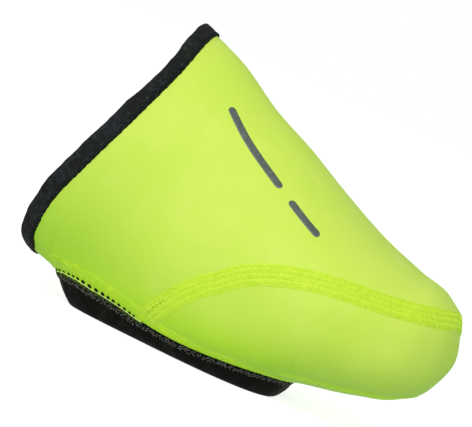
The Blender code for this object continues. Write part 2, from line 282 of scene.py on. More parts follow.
def relief(along, turn, points, normals):
    """How far the soft folds lift the fabric off the plain form, in metres."""
    height = np.zeros(points.shape[:-1])
    flat = points[..., [0, 2]] / MM
    for start, end, width, rise in FOLDS:
        start, end = np.array(start, float), np.array(end, float)
        line = end - start
        share = np.clip(((flat - start) @ line) / (line @ line), 0, 1)
        away = np.linalg.norm(flat - start - share[..., None] * line, axis=-1)
        height += rise * np.exp(-((away / width) ** 2))
    side = np.clip(-normals[..., 1] * 1.6, 0, 1)
    wrapped = np.abs(np.mod(turn + 1, 2) - 1)
    fade = eased((FOLDS_END_TURN - wrapped) / FOLDS_FADE_TURN) * np.clip((0.985 - along) / 0.05, 0, 1)
    return height * side * fade * MM


def dressed(along, turn):
    """The fabric's outer face with its folds, and its normal."""
    points = upper_point(along, turn)
    normals = upper_slopes(along, turn)[2]
    return points + normals * relief(along, turn, points, normals)[..., None], normals


class Band:
    """A band on the upper or the sole: s is the distance along its line and c the distance across it."""

    def __init__(self, points, normals, s, c, closed=False):
        self.points, self.normals, self.s, self.c = points, normals, s, c
        self.length = s[-1]
        self.closed = closed

    @classmethod
    def on_upper(cls, along, turn, c, closed=False):
        """c runs to the right of the line's way, seen from outside."""
        line = upper_point(along, turn)
        direction = round_trip(line) if closed else np.gradient(line, axis=0)
        columns = [dressed(*aside(along, turn, direction, -away)) for away in c]
        points, normals = (np.stack(grids, axis=1) for grids in zip(*columns))
        if closed:
            points, normals, line = closed_up(points), closed_up(normals), closed_up(line)
        return cls(points, normals, travelled(line), c, closed)

    def at(self, s, c, lift=0.0):
        """Points at these distances, lifted off the surface, and the normals there."""
        s, c, lift = np.broadcast_arrays(s, c, lift)
        s = np.mod(s, self.length) if self.closed else np.clip(s, 0, self.length)
        row = np.clip(np.searchsorted(self.s, s, side="right") - 1, 0, len(self.s) - 2)
        down = ((s - self.s[row]) / (self.s[row + 1] - self.s[row]))[..., None]
        column = np.clip(np.searchsorted(self.c, c, side="right") - 1, 0, len(self.c) - 2)
        over = ((c - self.c[column]) / (self.c[column + 1] - self.c[column]))[..., None]

        def mixed(grid):
            near = grid[row, column] * (1 - over) + grid[row, column + 1] * over
            far = grid[row + 1, column] * (1 - over) + grid[row + 1, column + 1] * over
            return near * (1 - down) + far * down

        normals = unit(mixed(self.normals))
        return mixed(self.points) + normals * lift[..., None], normals

    def noise(self, s, wavelength, seed):
        """A gentle wave along the band, between about -1 and 1, of about this wavelength in mm."""
        return smooth_noise(s, wavelength * MM, seed, self.length)

    def threads(self, s, c, lift, radius, **options):
        """Round threads along these distances, with a radius in mm."""
        points, normals = self.at(s, c, lift)
        return tubes(points, radius * MM, normals, **options)


def grid_faces(rows, columns, closed_rows=False, closed_columns=False):
    """Quads of a grid of points that is numbered row by row."""
    row = np.arange(rows if closed_rows else rows - 1)[:, None]
    column = np.arange(columns if closed_columns else columns - 1)
    next_row = (row + 1) % rows * columns
    next_column = (column + 1) % columns
    row = row * columns
    corners = [row + column, next_row + column, next_row + next_column, row + next_column]
    return np.stack(corners, axis=-1).reshape(-1, 4)


def sheet(grid, closed_rows=False, closed_columns=False, flip=False):
    """A grid of points and its faces, as one part of a piece."""
    faces = grid_faces(*grid.shape[:2], closed_rows, closed_columns)
    return grid, faces[:, ::-1] if flip else faces


def repeated(faces, count, size):
    """One form's faces for many copies of it, each with this many points."""
    faces = np.array(faces)
    return (faces + size * np.arange(count)[:, None, None]).reshape(-1, faces.shape[-1])


def circle(count):
    """Even directions round a circle, as a column of cosines and one of sines."""
    angle = np.linspace(0, 2 * math.pi, count, endpoint=False)[:, None]
    return np.cos(angle), np.sin(angle)


def tubes(paths, radius, up, sides=5, tip=0.45):
    """Round threads along many paths of one length, narrower at their ends, as one part of a piece."""
    count, steps = paths.shape[:2]
    tangent = unit(np.gradient(paths, axis=1))
    side = unit(np.cross(tangent, up))[:, :, None]
    over = np.cross(side, tangent[:, :, None])
    cosines, sines = circle(sides)
    thick = np.full((steps, 1, 1), radius)
    thick[[0, -1]] *= tip
    points = paths[:, :, None] + thick * (cosines * side + sines * over)
    size = steps * sides
    ring = np.arange(sides)
    walls = repeated(grid_faces(steps, sides, closed_columns=True), count, size)
    return points, walls, repeated([ring, ring[::-1] + size - sides], count, size)


def arched(count):
    """Shares of the way along a thread, and its arch at each."""
    share = np.linspace(0, 1, count)
    return share, np.sin(math.pi * share)


def make_piece(name, parts, shaders, slot, shades=None, **attributes):
    """A mesh that rides on the part. Each of its parts is an array of points and its arrays of faces, and
    shades gives the number of each part's shader."""
    faces, which, start = [], [], 0
    for shade, (points, *blocks) in zip(shades or [0] * len(parts), parts):
        for block in blocks:
            faces += (block + start).tolist()
            which += [shade] * len(block)
        start += points.size // 3
    mesh = bpy.data.meshes.new(name)
    mesh.from_pydata(np.vstack([points.reshape(-1, 3) for points, *_ in parts]).tolist(), [], faces)
    for shader in shaders:
        mesh.materials.append(shader.material)
    mesh.polygons.foreach_set("material_index", np.array(which, np.int32))
    for label, values in attributes.items():
        values = np.broadcast_to(values, (len(parts),) + parts[0][0].shape[:-1]).ravel()
        mesh.attributes.new(label, "FLOAT", "POINT").data.foreach_set("value", values.astype(np.float32))
    mesh.shade_smooth()
    mesh.update()
    obj = bpy.data.objects.new(name, mesh)
    bpy.context.scene.collection.objects.link(obj)
    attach(obj, "root")
    return obj


def add_wall(obj, thickness, **settings):
    """Gives a sheet its thickness, inwards."""
    wall = obj.modifiers.new("wall", "SOLIDIFY")
    for key, value in dict(thickness=thickness, offset=-1, **settings).items():
        setattr(wall, key, value)


def smooth_noise(places, wavelength, seed, lengths):
    """A gentle wave along a line: a few sines of about one wavelength, between about -1 and 1."""
    random = np.random.default_rng(seed)
    total = np.zeros_like(places)
    for share in (0.6, 1.0, 1.7):
        turns = max(1, round(lengths / (wavelength * share)))
        total += np.sin(2 * math.pi * turns * places / lengths + random.uniform(0, 2 * math.pi)) / 3
    return total


# Materials


def add_node(tree, kind, sockets=None, **settings):
    """A new node with these settings, and its sockets filled."""
    node = tree.nodes.new("ShaderNode" + kind)
    for key, value in settings.items():
        setattr(node, key, value)
    fill(node, sockets or {})
    return node


def fill(node, sockets):
    """Links a node's sockets to other nodes' outputs, or sets them to plain values."""
    for key, value in sockets.items():
        if isinstance(value, bpy.types.NodeSocket):
            node.id_data.links.new(value, node.inputs[key])
        else:
            node.inputs[key].default_value = value


class Shader:
    """A material that is built in layers on one Principled shader. Scales count the grains per metre."""

    def __init__(self, name, colour, roughness, shine=0.5, glow=None, sheen=(0.0, 0.5), metallic=0.0):
        self.material = bpy.data.materials.new(name)
        self.material.use_nodes = True
        self.principled = self.material.node_tree.nodes["Principled BSDF"]
        self.place = self.node("TexCoord").outputs["Object"]
        self.colour = (*colour, 1)
        self.normal = None
        sockets = {"Base Color": self.colour, "Roughness": roughness, "Specular IOR Level": shine}
        sockets.update({"Metallic": metallic, "Sheen Weight": sheen[0], "Sheen Roughness": sheen[1]})
        if glow:
            sockets.update({"Emission Color": (*glow, 1), "Emission Strength": 1.0})
        fill(self.principled, sockets)

    def node(self, kind, sockets=None, **settings):
        return add_node(self.material.node_tree, kind, sockets, **settings)

    def noise(self, scale, detail, roughness=0.5, stretch=None):
        place = self.place
        if stretch:
            place = self.node("Mapping", {"Scale": stretch, "Vector": place}).outputs["Vector"]
        sockets = {"Scale": scale, "Detail": detail, "Roughness": roughness, "Vector": place}
        return self.node("TexNoise", sockets).outputs["Fac"]

    def ranged(self, value, low, high, to_low=0.0, to_high=1.0):
        sockets = {"Value": value, "From Min": low, "From Max": high, "To Min": to_low, "To Max": to_high}
        return self.node("MapRange", sockets).outputs["Result"]

    def tint(self, colour, factor):
        sockets = {"A": self.colour, "B": (*colour, 1), "Factor": factor}
        self.colour = self.node("Mix", sockets, data_type="RGBA").outputs["Result"]
        fill(self.principled, {"Base Color": self.colour})
        return self

    def patches(self, colour, low, high, *noise):
        """Mixes a colour in where a noise rises from low to high."""
        return self.tint(colour, self.ranged(self.noise(*noise), low, high))

    def marked(self, colour, attribute):
        """Mixes a colour in by an attribute of the mesh."""
        return self.tint(colour, self.node("Attribute", attribute_name=attribute).outputs["Fac"])

    def rough(self, low, high, to_low, to_high, *noise):
        """Spreads the roughness over a range by a noise."""
        fill(self.principled, {"Roughness": self.ranged(self.noise(*noise), low, high, to_low, to_high)})
        return self

    def bump(self, strength, distance, value):
        sockets = {"Strength": strength, "Distance": distance, "Height": value}
        if self.normal:
            sockets["Normal"] = self.normal
        self.normal = self.node("Bump", sockets).outputs["Normal"]
        fill(self.principled, {"Normal": self.normal})
        return self

    def grain(self, strength, distance, *noise):
        return self.bump(strength, distance, self.noise(*noise))

    def ribs(self, strength, distance, scale, direction, distortion):
        sockets = {"Scale": scale, "Distortion": distortion, "Vector": self.place}
        wave = self.node("TexWave", sockets, bands_direction=direction)
        return self.bump(strength, distance, wave.outputs["Fac"])

    def pits(self, strength, distance, scale):
        cells = self.node("TexVoronoi", {"Scale": scale, "Vector": self.place})
        return self.bump(strength, distance, cells.outputs["Distance"])


def thread(name, colour, darker, roughness=0.6, glow=None, shine=0.2):
    """A twisted sewing thread."""
    shader = Shader(name, colour, roughness, shine, glow)
    return shader.patches(darker, 0.4, 0.75, 900, 2).ribs(0.4, 0.00006, 1900, "DIAGONAL", 2.0)


# A painted green glow on the hi-vis fabric and threads: it stands for the light that the fluorescent
# pigment adds, which a plain base colour can't show, and keeps their shaded sides green
PAINTED_FLUORESCENT_GLOW = (0.01, 0.13, 0.0)
SOLE_STREAKS = (240, 3, 0.6, (1.0, 1.0, 0.22))

SOFTSHELL = (
    Shader("softshell", (0.61, 0.69, 0.105), 0.70, 0.25, PAINTED_FLUORESCENT_GLOW, sheen=(0.06, 0.5))
    .patches((0.58, 0.675, 0.085), 0.42, 0.66, 38, 2)
    .patches((0.635, 0.70, 0.125), 0.55, 0.75, 85, 3)
    # Painted shade: a darker, greener colour low down, at the heel corners and at the toe's front
    .marked((0.385, 0.530, 0.036), "deep")
    .marked((0.450, 0.640, 0.012), "edge")
    .rough(0.3, 0.7, 0.60, 0.72, 260, 2)
    .grain(0.10, 0.0006, 70, 2)
    .ribs(0.05, 0.00008, 700, "X", 1.5)
    .grain(0.12, 0.0001, 2200, 3, 0.7)
)
FLEECE = (
    Shader("brushed_lining", (0.66, 0.78, 0.24), 0.92, sheen=(0.3, 0.6))
    .patches((0.56, 0.72, 0.16), 0.4, 0.7, 300, 3)
    .grain(0.6, 0.0004, 550, 4, 0.7)
    .grain(0.4, 0.00015, 1800, 2, 0.7)
)
SEAM = (
    Shader("flatlock_thread", (0.62, 0.72, 0.052), 0.6, 0.25, PAINTED_FLUORESCENT_GLOW, sheen=(0.06, 0.4))
    # Painted shade along the needle rows and in the troughs between the ribs
    .marked((0.40, 0.53, 0.018), "groove")
    .patches((0.51, 0.65, 0.030), 0.45, 0.68, 420, 2)
    .patches((0.68, 0.74, 0.055), 0.56, 0.70, 300, 3, 0.6)
    # Painted shade, as on the upper but a little weaker
    .marked((0.44, 0.60, 0.016), "deep")
    .grain(0.35, 0.00012, 1500, 3, 0.7)
)
HEM = (
    Shader("hem_fabric", (0.59, 0.79, 0.012), 0.66, 0.2, PAINTED_FLUORESCENT_GLOW, sheen=(0.05, 0.4))
    # Painted shade at the hem's bottom, over the outer side's rear, in the heel strips and along the toe
    # strip's edges
    .marked((0.40, 0.57, 0.016), "groove")
    .patches((0.68, 0.79, 0.026), 0.50, 0.74, 330, 3, 0.6)
    .patches((0.42, 0.62, 0.008), 0.52, 0.74, 480, 3, 0.6)
    .marked((0.48, 0.64, 0.034), "blend")
    .grain(0.7, 0.0004, 520, 3, 0.6)
    .grain(0.25, 0.0001, 2000, 2, 0.7)
)
SOLE = (
    Shader("rubberised_fabric", (0.0034, 0.0040, 0.0030), 0.72, 0.05)
    .patches((0.0115, 0.0130, 0.0105), 0.50, 0.74, *SOLE_STREAKS)
    .patches((0.0018, 0.0024, 0.0012), 0.5, 0.75, 60, 2)
    .rough(0.3, 0.75, 0.80, 0.60, *SOLE_STREAKS)
    .grain(0.35, 0.0004, *SOLE_STREAKS)
    .pits(0.25, 0.0001, 1500)
)
KNIT = (
    Shader("knit_tape", (0.0095, 0.0112, 0.0115), 0.9, 0.12, sheen=(0.03, 0.45))
    .patches((0.0175, 0.0190, 0.0250), 0.52, 0.70, 110, 2)
    .patches((0.0140, 0.0180, 0.0125), 0.52, 0.70, 95, 2, 0.5, (1.0, 1.3, 1.0))
    .patches((0.0320, 0.0350, 0.0370), 0.50, 0.74, 520, 3, 0.65)
    .patches((0.0045, 0.0055, 0.0055), 0.50, 0.75, 700, 2, 0.65)
    .grain(0.55, 0.0003, 900, 3, 0.7)
    .ribs(0.25, 0.00012, 560, "DIAGONAL", 2.5)
)
REFLECTIVE = (
    Shader("reflective_film", (0.105, 0.130, 0.112), 0.42, metallic=0.35)
    .patches((0.150, 0.175, 0.155), 0.45, 0.7, 600, 2)
    .pits(0.25, 0.00005, 3200)
    .rough(0.3, 0.7, 0.36, 0.52, 300, 2)
)
STITCH = thread("needle_thread", (0.62, 0.72, 0.048), (0.50, 0.62, 0.028), glow=PAINTED_FLUORESCENT_GLOW)
# The pale thread also gets a painted green glow
PALE_THREAD = thread("pale_thread", (0.66, 0.72, 0.26), (0.54, 0.64, 0.15), glow=(0.01, 0.10, 0.0))
BLACK_THREAD = thread("black_thread", (0.0040, 0.0048, 0.0036), (0.010, 0.011, 0.009), 0.8, shine=0.06)
GREY_THREAD = thread("grey_thread", (0.180, 0.174, 0.170), (0.060, 0.060, 0.054), 0.75)
# Painted shade: the dark green of the needle holes and of the cord along the collar tape's inner edge
SHADE_THREAD = thread("needle_hole_shade", (0.014, 0.026, 0.004), (0.006, 0.010, 0.003), 0.85, shine=0.06)
GREEN_THREAD = thread("dark_green_thread", (0.030, 0.060, 0.004), (0.10, 0.17, 0.008), 0.8, shine=0.1)


# The upper: one hollow shell with its fleece inside

UPPER_COLUMNS = 200


def painted_shading(points):
    """How far painted shade deepens the fabric's colour: low down, at the heel corners and at the toe's
    front.
    """
    x, z = points[..., 0] / MM, points[..., 2] / MM
    # Painted shade: darker and greener low down, at the heel corners and at the toe's front
    low = 0.52 * eased((54 - z) / 34)
    heel = 0.50 * eased((-22 - x) / 44) * eased((78 - z) / 34)
    front = 0.10 * eased((x - 68) / 16)
    # A painted highlight: a lighter patch on the side of the toe
    painted_highlight = 0.25 * np.exp(-((x - 64) ** 2 + (z - 38) ** 2) / 14**2)
    return np.clip(low + heel + front - painted_highlight, 0, 1)


def edge_tone(points):
    """How far the fabric takes the hem's purer colour just above the sole."""
    x, z = points[..., 0] / MM, points[..., 2] / MM
    return eased((26 - z) / 13) * (0.20 + 0.65 * eased((50 - x) / 22))


def build_upper():
    heel = np.linspace(0, SOLE_HEEL_END, 15)[:-1]
    share = np.linspace(0, 1, 111)
    ease = 0.85 * (1 - np.cos(math.pi * share)) / 2 + 0.15 * share
    middle = SOLE_HEEL_END + (SOLE_TOE_END - SOLE_HEEL_END) * ease
    toe = SOLE_TOE_END + (1 - SOLE_TOE_END) * np.sin(np.linspace(0, math.pi / 2, 56)[1:-1])
    along = np.concatenate([heel, middle, toe])
    reach = 1 - sole_half_turn(along)
    points, _ = dressed(along[:, None], reach[:, None] * np.linspace(-1, 1, UPPER_COLUMNS + 1))
    whole = (along <= SOLE_HEEL_END) | (along >= SOLE_TOE_END)
    used = np.ones(points.shape[:2], bool)
    used[whole, -1] = False
    number = np.cumsum(used).reshape(used.shape) - 1
    number[whole, -1] = number[whole, 0]
    corners = [number[:-1, :-1], number[1:, :-1], number[1:, 1:], number[:-1, 1:]]
    quads = np.stack(corners, axis=-1).reshape(-1, 4)
    tip = np.full(UPPER_COLUMNS, used.sum())
    tip_faces = np.stack([number[-1, :-1], tip, number[-1, 1:]], axis=-1)
    points = np.vstack([points[used], upper_point(1.0, 0.0)])
    obj = make_piece(
        "softshell_upper", [(points, quads, tip_faces)], [SOFTSHELL, FLEECE], "hi_vis_softshell",
        deep=painted_shading(points), edge=edge_tone(points),
    )
    add_wall(obj, WALL, material_offset=1)
    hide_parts("upper")


# The sole panel: a shallow cup with the cleat opening

SOLE_STATIONS = 320
SOLE_WALL_RINGS = 15


def sole_grid():
    """Rings of points from the sole's rim to the cleat opening, and the hole's edge over the rim."""
    along, turn = sole_edge(SOLE_STATIONS)
    edge = upper_point(along, turn)
    rim = upper_point(*aside(along, turn, round_trip(edge), GAP))
    low, high = rim.min(0), rim.max(0)
    middle_y = (low[1] + high[1]) / 2
    lengthwise = (rim[:, 0] - low[0]) / (high[0] - low[0])
    flat = np.zeros_like(rim)
    flat[:, 0] = low[0] + HEEL_DRAFT + (high[0] - low[0] - HEEL_DRAFT - TOE_DRAFT) * lengthwise
    flat[:, 1] = middle_y + (rim[:, 1] - middle_y) * (1 - 2 * SIDE_DRAFT / (high[1] - low[1]))
    heel_share = eased(1 - lengthwise / HEEL_WALL_SHARE)
    rounding = WALL_ROUNDING + (HEEL_WALL_ROUNDING - WALL_ROUNDING) * heel_share
    rings = []
    for angle in np.linspace(0, math.pi / 2, SOLE_WALL_RINGS):
        inward = 1 - abs(math.cos(angle)) ** (2 / rounding)
        ring = rim + (flat - rim) * inward[:, None]
        ring[:, 2] = rim[:, 2] * (1 - math.sin(angle) ** (2 / rounding))
        rings.append(ring)
    middle = np.array([(flat[:, 0].min() + flat[:, 0].max()) / 2, middle_y, 0])
    bearing = np.arctan2(flat[:, 1] - middle_y, flat[:, 0] - middle[0])
    spokes = np.stack([np.cos(bearing), np.sin(bearing), 0 * bearing], axis=1)
    halves = np.array([CLEAT_OPENING_LENGTH / 2, CLEAT_OPENING_WIDTH / 2])
    powers = np.abs(spokes[:, :2] / halves) ** CLEAT_OPENING_ROUNDING
    opening = middle + spokes * powers.sum(1)[:, None] ** (-1 / CLEAT_OPENING_ROUNDING)
    rings += [flat + (opening - flat) * share for share in (0.25, 0.5, 0.75, 1.0)]
    return np.array(rings).transpose(1, 0, 2), edge


SOLE_GRID, SOLE_RIM = sole_grid()


def grid_normals(grid):
    """Outward normals of a grid whose rows close."""
    normals = unit(np.cross(round_trip(grid), np.gradient(grid, axis=1)))
    outward = normals[0, 5] @ (grid[0, 5] - grid[:, 5].mean(0)) > 0
    return normals if outward else -normals


def sole_wall_band():
    """The outer wall of the sole panel as a band: c grows down from the rim."""
    grid = SOLE_GRID[:, :SOLE_WALL_RINGS]
    normals = grid_normals(grid)
    c = np.linspace(0, 5.2, 11) * MM
    rows = []
    for line, outs in zip(grid, normals):
        depth = travelled(line)
        rows.append([[np.interp(c, depth, column) for column in values.T] for values in (line, outs)])
    points, outward = np.array(rows).transpose(1, 0, 3, 2)
    return Band(closed_up(points), closed_up(outward), travelled(closed_up(SOLE_RIM)), c, closed=True)


WALL_BAND = sole_wall_band()


def build_sole():
    s = WALL_BAND.s[:-1]
    creases = WALL_BAND.noise(s, 7, 3) + 0.6 * WALL_BAND.noise(s, 3.5, 4)
    swell = np.zeros(SOLE_GRID.shape[1])
    swell[:SOLE_WALL_RINGS] = np.sin(np.linspace(0, math.pi, SOLE_WALL_RINGS)) ** 2
    grid = SOLE_GRID + grid_normals(SOLE_GRID) * (creases[:, None] * swell * 0.14 * MM)[..., None]
    grid[..., 2] = np.maximum(grid[..., 2], 0)
    obj = make_piece("sole_panel", [sheet(grid, closed_rows=True)], [SOLE], "black_sole_fabric")
    add_wall(obj, SOLE_WALL, use_even_offset=True)
    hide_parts("sole")


# Band round the sole hole: c is 0 at the hole's edge and grows up the fabric

HEM_ALONG, HEM_TURN = sole_edge(420)
HEM_LINES = np.array([0.0, 0.3, 1.2, 2.4, 3.6, 4.8, 6.0, 7.4, 8.8]) * MM
HEM_BAND = Band.on_upper(HEM_ALONG, HEM_TURN, HEM_LINES, closed=True)


def at_edge(s, up, lift):
    """Points at a height over the sole hole's edge: on the fabric above it, on the sole's wall below it."""
    fabric, fabric_out = HEM_BAND.at(s, np.maximum(up, 0), lift)
    wall, wall_out = WALL_BAND.at(s * WALL_BAND.length / HEM_BAND.length, np.maximum(-up, 0), lift)
    over = np.clip(0.5 - up / (0.4 * MM), 0, 1)[..., None]
    return fabric * (1 - over) + wall * over, unit(fabric_out * (1 - over) + wall_out * over)


def hem_places(s):
    """The places on the upper at these distances along the hole's edge."""
    return np.interp(s, HEM_BAND.s[:-1], HEM_ALONG), np.interp(s, HEM_BAND.s[:-1], HEM_TURN)


def edge_lines(s):
    """Heights over the hole's edge at these places, in metres: the needle holes, the loose thread and the
    hem's bottom, and how far the place is on the outer side's rear, where the hem hangs over the sole."""
    along, turn = hem_places(s)
    rear = eased((turn - 1.10) / 0.06) * eased((along - 0.082) / 0.015) * eased((0.350 - along) / 0.03)
    holes = 0.38 + 1.1 * eased((along - 0.20) / 0.06) - 0.4 * eased((along - 0.29) / 0.05)
    loose = holes - 0.95 + 0.35 * eased((along - 0.24) / 0.05)
    bottom = loose - 1.0 - 0.4 * eased((along - 0.22) / 0.04)
    bottom = bottom * rear + 0.2 * (1 - rear)
    return holes * MM, loose * MM, bottom * MM, rear


def build_hem():
    s = np.linspace(0, HEM_BAND.length, 1200, endpoint=False)[:, None]
    along, _ = hem_places(s)
    _, _, bottom, rear = edge_lines(s)
    ragged = 0.30 * HEM_BAND.noise(s, 6, 11) + 0.20 * HEM_BAND.noise(s, 2, 13)
    on_side = np.clip((along - 0.125) / 0.04, 0, 1) * np.clip((0.64 - along) / 0.03, 0, 1)
    tall = eased((along - 0.14) / 0.07) * eased((0.48 - along) / 0.20)
    top = (3.4 + 1.6 * on_side + 0.3 * rear + 2.6 * tall + ragged) * MM
    lines = np.array([0.0, 0.04, 0.12, 0.24, 0.36, 0.48, 0.60, 0.72, 0.84, 0.93, 1.0])
    ripple = HEM_BAND.noise(s, 2.6, 12)
    crest = np.clip(lines / 0.12, 0, 1) ** 0.5 * (1 - 0.75 * eased((lines - 0.3) / 0.7))
    lift = (0.08 + 0.26 * crest * (1 + 0.30 * ripple)) * MM
    lift[:, [0, -1]] = -0.05 * MM
    points, _ = at_edge(s, bottom + lines * (top - bottom), lift)
    obj = make_piece(
        "edge_hem", [sheet(points, closed_rows=True, flip=True)], [HEM], "hi_vis_thread",
        # Painted shade: darker along the hem's lowest strip and over the whole outer side's rear
        groove=np.maximum(np.clip(0.5 - 3.0 * lines + 0.20 * ripple, 0, 1), 0.55 * rear),
        blend=0.9 * eased((lines - 0.62 + 0.16 * ripple) / 0.42),
    )
    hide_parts("sole_hem")


# The deeper strip at the heel corners, between the hem and the tape

HEEL_STRIP_TOP = (
    (0.014, 0.850), (0.033, 0.820), (0.055, 0.800), (0.080, 0.783), (0.108, 0.765),
    (0.155, 0.742), (0.200, 0.730), (0.262, 0.722),
)
HEEL_STRIP_FOLD = (
    (0.010, 0.880), (0.025, 0.865), (0.068, 0.833), (0.110, 0.803), (0.163, 0.773),
    (0.262, 0.752),
)
HEEL_STRIP_LOW_TURN = 0.908


def build_heel_strips():
    along = np.linspace(0.012, 0.250, 140)
    top = smooth_table(HEEL_STRIP_TOP, along)[:, None]
    middle = smooth_table(HEEL_STRIP_FOLD, along)[:, None]
    low = np.minimum(HEEL_STRIP_LOW_TURN, 1 - sole_half_turn(along) - 0.006)[:, None]
    along = along[:, None]
    shares = np.linspace(0, 1, 17)
    turn = top + shares * (low - top)
    fade = eased((along - 0.012) / 0.010) * eased((0.250 - along) / 0.06)
    ripple = smooth_noise(along, 0.021, 61, 1.0)
    pillow = np.sin(math.pi * shares) ** 0.5
    fold = np.exp(-(((turn - middle) / 0.0065) ** 2))
    brow = np.exp(-(((turn - top - 0.006) / 0.006) ** 2))
    lift = (-0.06 + (0.20 * pillow * (1 + 0.2 * ripple) - 0.08 * fold) * fade) * MM
    # Painted shade: the whole strip darker, most in its fold and just under its top edge
    groove = np.clip(0.60 + 0.40 * fold + 0.30 * brow, 0, 1)
    blend = np.clip(1 - fade + 0.5 * np.exp(-((shares / 0.06) ** 2)), 0, 1)
    parts = []
    for side in (-1, 1):
        points, normals = dressed(along, side * turn)
        parts.append(sheet(points + normals * lift[..., None], flip=side > 0))
    make_piece("heel_edge_strips", parts, [HEM], "hi_vis_thread", groove=groove, blend=blend)


# The flatlock seam: a quilted band, its four needle rows and the threads that cross between them

NEEDLE_ROWS = np.array([-3.3, -1.1, 1.1, 3.3]) * MM


def route_line(places, other):
    """A smooth line on the upper through these places, then through those of the other side."""
    places = np.vstack([places, other])
    marks = travelled(upper_point(*places.T))
    fine = np.linspace(0, marks[-1], FINE_STEPS)
    return smooth_rows(np.column_stack([marks, places]), fine)[:, 1:].T


def seam_band():
    route = np.array(SEAM_ROUTE)
    along, turn = route_line(route * [1, -1], route[-2::-1])
    room = 1 - sole_half_turn(along) - np.abs(turn)
    gap = 3.4 * MM / np.linalg.norm(upper_slopes(along, turn)[1], axis=1)
    inside = np.flatnonzero(room > gap)
    picked = slice(inside[0], inside[-1] + 1)
    along, turn = evenly(along[picked], turn[picked], 420)
    return Band.on_upper(along, turn, np.linspace(-5, 5, 11) * MM)


SEAM_BAND = seam_band()


def build_seam():
    half = SEAM_WIDTH / 2
    s = np.arange(0, SEAM_BAND.length, 0.30 * MM)[:, None]
    c = np.linspace(-half, half, 33)
    lanes = (c - NEEDLE_ROWS[0]) / (NEEDLE_ROWS[1] - NEEDLE_ROWS[0])
    puff = np.abs(np.sin(math.pi * lanes)) ** 0.7
    puff[np.abs(c) > NEEDLE_ROWS[-1]] *= 0.75
    edge = np.clip((half - np.abs(c)) / (0.5 * MM), 0, 1)
    slant = np.where(np.floor(lanes) % 2 == 0, 1.0, -1.0)
    rib = np.cos(2 * math.pi * (s + slant * c * 0.55) / (1.25 * MM))
    lift = ((0.16 + 0.30 * puff + 0.06 * rib * puff) * edge - 0.05 * (1 - edge)) * MM
    points, _ = SEAM_BAND.at(s, c, lift)
    # Painted shade: darker along the needle rows and in the troughs between the ribs, and low down and at
    # the heel as on the upper
    groove = np.clip(0.75 - 1.4 * puff - 0.30 * rib, 0, 1) * np.clip(edge + 0.3, 0, 1)
    deep = 0.8 * painted_shading(points)
    obj = make_piece("panel_seam", [sheet(points)], [SEAM], "hi_vis_thread", groove=groove, deep=deep)
    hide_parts("flatlock_seam")


def build_seam_threads():
    band = SEAM_BAND
    parts = []
    pitch = 2.5 * MM
    start = np.arange(0.6 * MM, band.length - pitch, pitch)[:, None]
    share, arch = arched(6)
    for row in NEEDLE_ROWS:
        s = start + RNG.uniform(-0.12, 0.12, start.shape) * MM + 0.15 * MM + share * (pitch - 0.5 * MM)
        c = row + RNG.normal(0, 0.04, start.shape) * MM
        parts.append(band.threads(s, c, (0.10 + 0.20 * arch) * MM, 0.20))
    pitch = 1.25 * MM
    start = np.arange(0.6 * MM, band.length - pitch, pitch)[:, None]
    share, arch = arched(5)
    for lane, slant in enumerate((1.0, -1.0, 1.0)):
        low, high = NEEDLE_ROWS[lane] + 0.22 * MM, NEEDLE_ROWS[lane + 1] - 0.22 * MM
        s = start + RNG.uniform(-0.10, 0.10, start.shape) * MM + slant * (share - 0.5) * MM
        parts.append(band.threads(s, low + (high - low) * share, (0.16 + 0.36 * arch) * MM, 0.17))
    # Six short dark green threads near the seam's start: a dotted line of painted thread shadow
    number = np.arange(6)[:, None]
    s = (3.4 + 1.75 * number + share * 1.1) * MM
    c = (-1.9 + 0.12 * np.sin(2.1 * number)) * MM
    shades = [0] * len(parts) + [1]
    parts.append(band.threads(s, c, (0.30 + 0.16 * arch) * MM, 0.15))
    make_piece("panel_seam_threads", parts, [STITCH, GREEN_THREAD], "hi_vis_thread", shades)


# The strip along the toe's bottom edge, from the sole panel's front corners round the toe

TOE_STRIP_ROUTE = (
    (0.640, 0.770), (0.700, 0.782), (0.770, 0.792), (0.840, 0.808), (0.895, 0.845),
    (0.925, 0.900), (0.938, 1.000),
)
TOE_STRIP_WIDTH = 5.6 * MM


def build_toe_strip():
    route = np.array(TOE_STRIP_ROUTE)
    along, turn = evenly(*route_line(route * [1, -1], route[-2::-1] - [0, 2]), 260)
    band = Band.on_upper(along, turn, np.linspace(-3.6, 3.6, 9) * MM)
    s = np.linspace(0, band.length, 520)[:, None]
    lines = np.linspace(-1, 1, 13)
    taper = np.clip(np.minimum(s, band.length - s) / (7 * MM), 0.15, 1)
    ragged = 0.20 * band.noise(s, 5, 21) + 0.10 * band.noise(s, 1.7, 23)
    width = (TOE_STRIP_WIDTH / 2 + ragged * MM) * taper
    pillow = (1 - lines**4) ** 0.5
    ripple = band.noise(s, 2.6, 22)
    lift = (-0.08 + 0.30 * pillow * (1 + 0.15 * ripple) * taper) * MM
    points, _ = band.at(s, lines * width, lift)
    # Painted shade along the strip's two edges
    groove = np.clip(0.8 - 1.6 * pillow + 0.25 * ripple, 0, 1)
    blend = eased((np.abs(lines) - 0.55) / 0.45)
    make_piece("toe_edge_strip", [sheet(points)], [HEM], "hi_vis_thread", groove=groove, blend=blend)


# Stitches along the sole's upper edge


def domes(points, normals, radius, height):
    """Low round domes on a surface, as one part of a piece."""
    across = unit(np.cross(normals, [0.0, 0.3, 0.95]))[:, None]
    over = np.cross(normals[:, None], across)
    cosines, sines = circle(10)
    spokes = (cosines * across + sines * over) * radius[:, None, None]
    rings = []
    for tilt in (-0.3, 0.1, 0.5, 0.9, 1.25):
        middles = points + normals * height * math.sin(tilt)
        rings.append(middles[:, None] + spokes * math.cos(tilt))
    size = len(rings) * len(sines)
    walls = repeated(grid_faces(len(rings), len(sines), closed_columns=True), len(points), size)
    return np.stack(rings, axis=1), walls, repeated([np.arange(size - len(sines), size)], len(points), size)


